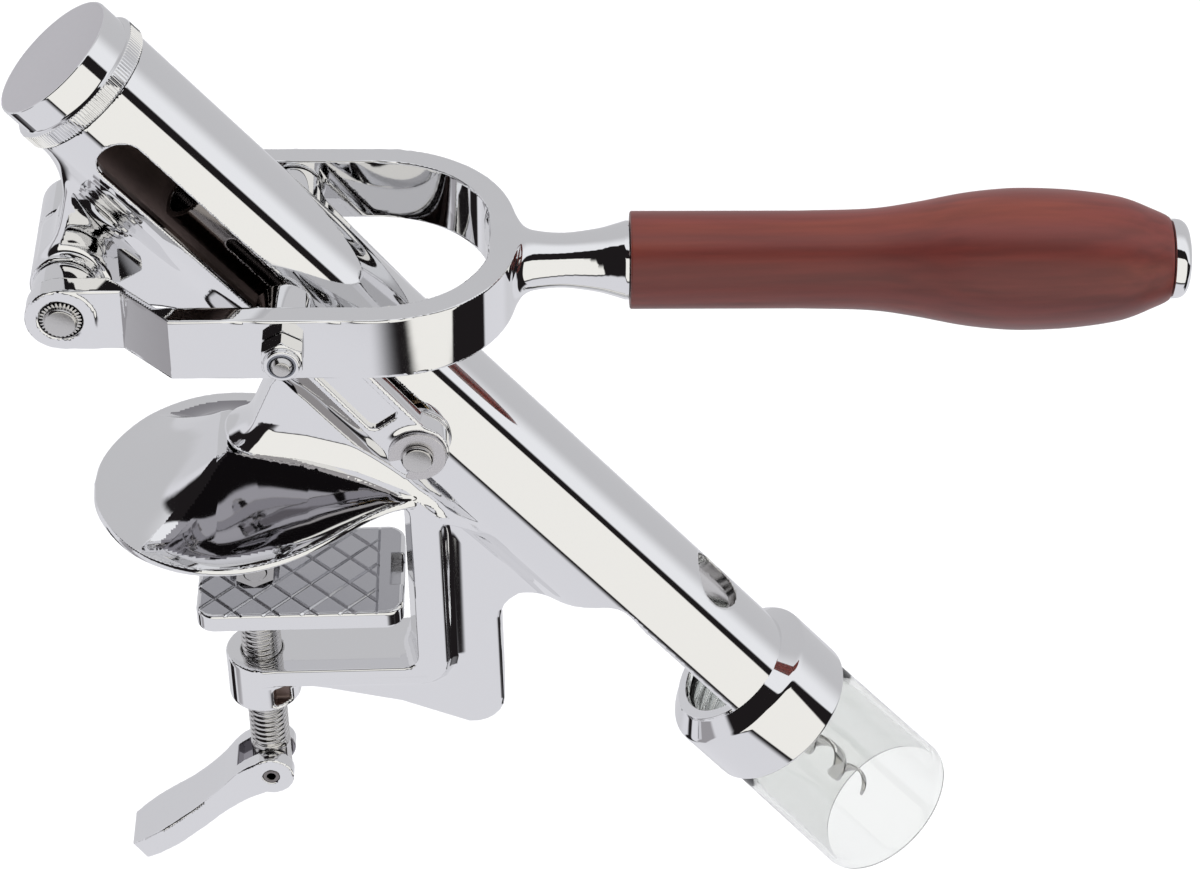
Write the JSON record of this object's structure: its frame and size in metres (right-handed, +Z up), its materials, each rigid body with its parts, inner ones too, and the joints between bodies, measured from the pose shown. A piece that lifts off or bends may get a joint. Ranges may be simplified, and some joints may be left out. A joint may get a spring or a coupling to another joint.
{
  "type": "lever corkscrew",
  "caption": "Bar-mounted lever corkscrew: slotted inclined barrel with a worm inside, clear bottle bell, stirrup lever with wooden grip and a screw clamp.",
  "frame": {"origin": "on the clamp screw's axis, in the plane of the saddle's flat underside, where the tool sits on the bar top", "axes": "+X along the lever from its hinge towards the grip, +Z up out of the bar top, +Y across, with XZ the mirror plane"},
  "size_m": [0.2992, 0.0894, 0.2873],
  "materials": {
    "bell": "clear moulded plastic",
    "bell_gasket": "soft black rubber",
    "carriage": "turned steel",
    "clamp_screw": "zinc-plated steel",
    "clip_far": "spring steel",
    "clip_near": "spring steel",
    "cross_pin": "ground steel",
    "end_cap": "chrome, brushed end face",
    "frame_casting": "polished chrome over a casting",
    "grip_end_nut": "polished chrome",
    "handle_grip": "reddish stained hardwood, satin varnish",
    "handle_tang": "steel rod",
    "hinge_pin": "plated steel, knurled ends",
    "hinge_spacer": "chrome",
    "lever_yoke": "polished chrome over a casting",
    "link_far": "polished chrome",
    "link_near": "polished chrome",
    "link_stud_far": "plated steel",
    "link_stud_near": "plated steel",
    "link_washer_far": "chrome",
    "link_washer_near": "chrome",
    "lock_nut_far": "plated steel with a nylon ring",
    "lock_nut_near": "plated steel with a nylon ring",
    "pivot_bolt_far": "plated steel",
    "pivot_bolt_near": "plated steel",
    "plate_nut": "zinc-plated steel",
    "pressure_plate": "plated steel, scored on top",
    "shank_nut": "plated steel",
    "slot_bush_far": "turned brass",
    "slot_bush_near": "turned brass",
    "stop_sleeve": "drawn steel tube",
    "swivel_block": "machined steel",
    "thrust_washer": "brass",
    "wing_handle": "chrome over a casting",
    "wing_pin": "dark spring steel",
    "worm": "plated spring steel",
    "worm_nut": "turned brass"
  },
  "bodies": {
    "frame": {"frame_casting": "frame_casting", "end_cap": "end_cap", "bell": "bell", "bell_gasket": "bell_gasket"},
    "lever": {"lever_yoke": "lever_yoke", "handle_grip": "handle_grip", "handle_tang": "handle_tang", "grip_end_nut": "grip_end_nut", "hinge_pin": "hinge_pin", "hinge_spacer": "hinge_spacer", "pivot_bolt_near": "pivot_bolt_near", "pivot_bolt_far": "pivot_bolt_far", "lock_nut_near": "lock_nut_near", "lock_nut_far": "lock_nut_far"},
    "links": {"link_near": "link_near", "link_far": "link_far", "link_stud_near": "link_stud_near", "link_stud_far": "link_stud_far", "link_washer_near": "link_washer_near", "link_washer_far": "link_washer_far", "clip_near": "clip_near", "clip_far": "clip_far"},
    "carriage_assembly": {"carriage": "carriage", "cross_pin": "cross_pin", "swivel_block": "swivel_block", "slot_bush_near": "slot_bush_near", "slot_bush_far": "slot_bush_far"},
    "worm_assembly": {"worm": "worm", "thrust_washer": "thrust_washer", "shank_nut": "shank_nut"},
    "sleeve_assembly": {"stop_sleeve": "stop_sleeve", "worm_nut": "worm_nut"},
    "clamp_plate": {"pressure_plate": "pressure_plate"},
    "clamp_spindle": {"clamp_screw": "clamp_screw", "plate_nut": "plate_nut"},
    "paddle": {"wing_handle": "wing_handle", "wing_pin": "wing_pin"}
  },
  "joints": [
    {"name": "lever_hinge", "type": "hinge", "parent": "frame", "child": "lever", "pos_m": [-0.0395, 0, 0.0752], "axis": [0, -1, 0], "range_deg": [0, 128]},
    {"name": "link_pivot", "type": "hinge", "parent": "lever", "child": "links", "pos_m": [0.01618, 0, 0.07379], "axis": [0, -1, 0], "range_deg": [-78.8, 0]},
    {"name": "carriage_slide", "type": "slide", "parent": "frame", "child": "carriage_assembly", "axis": [-0.6266, 0, 0.7793], "range_m": [0, 0.1084]},
    {"name": "worm_spin", "type": "hinge", "parent": "carriage_assembly", "child": "worm_assembly", "pos_m": [0.04739, 0, 0.03179], "axis": [-0.6266, 0, 0.7793], "range_deg": [0, 1987]},
    {"name": "sleeve_slide", "type": "slide", "parent": "frame", "child": "sleeve_assembly", "axis": [-0.6266, 0, 0.7793], "range_m": [0, 0.0421]},
    {"name": "plate_slide", "type": "slide", "parent": "frame", "child": "clamp_plate", "axis": [0, 0, 1], "range_m": [-0.02, 0.018]},
    {"name": "screw_spin", "type": "hinge", "parent": "clamp_plate", "child": "clamp_spindle", "pos_m": [0, 0, -0.1], "axis": [0, 0, 1], "range_deg": [-3601, 3241]},
    {"name": "paddle_hinge", "type": "hinge", "parent": "clamp_spindle", "child": "paddle", "pos_m": [0, 0, -0.101], "axis": [0, -1, 0], "range_deg": [-30, 134]}
  ],
  "couplings": [
    {"joint": "link_pivot", "follows": "lever_hinge", "ratio": -0.61498},
    {"joint": "carriage_slide", "follows": "lever_hinge", "m_per_rad": 0.048483},
    {"joint": "worm_spin", "follows": "lever_hinge", "ratio": 15.516},
    {"joint": "sleeve_slide", "follows": "lever_hinge", "m_per_rad": 0.0188},
    {"joint": "screw_spin", "follows": "plate_slide", "rad_per_m": 3141.6}
  ]
}
